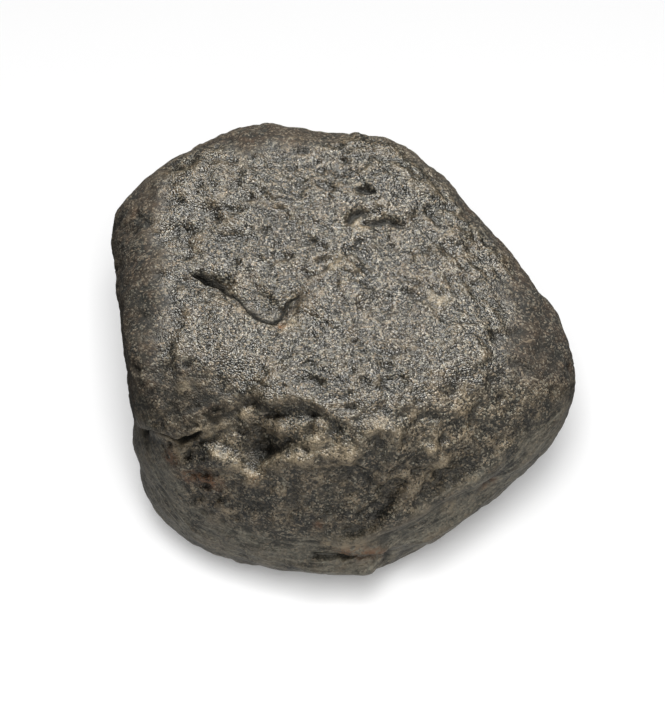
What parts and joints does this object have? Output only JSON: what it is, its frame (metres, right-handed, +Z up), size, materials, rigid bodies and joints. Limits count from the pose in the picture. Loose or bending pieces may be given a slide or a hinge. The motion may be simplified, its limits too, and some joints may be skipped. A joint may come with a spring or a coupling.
{
  "type": "chondrite meteorite",
  "caption": "Blocky stony meteorite with a dark fusion crust, a broad sloping top, rounded edges, an open crack, shallow pits and thumbprints, resting on a small flat spot.",
  "frame": {"origin": "on the ground, under the middle of the stone's bounding box; the flat spot that it rests on lies at Z = 0", "axes": "+Z up from the flat spot, through the broad top; -Y towards the steep lumpy front; +X towards the narrow rounded end; -X towards the side with the crust ledge"},
  "size_m": [0.0672, 0.0654, 0.0433],
  "materials": {
    "crust": "satin, fine-grained weathered fusion crust, dark brown to black, with tan and rust-brown patches"
  },
  "bodies": {
    "root": {"stone": "crust"}
  },
  "joints": []
}
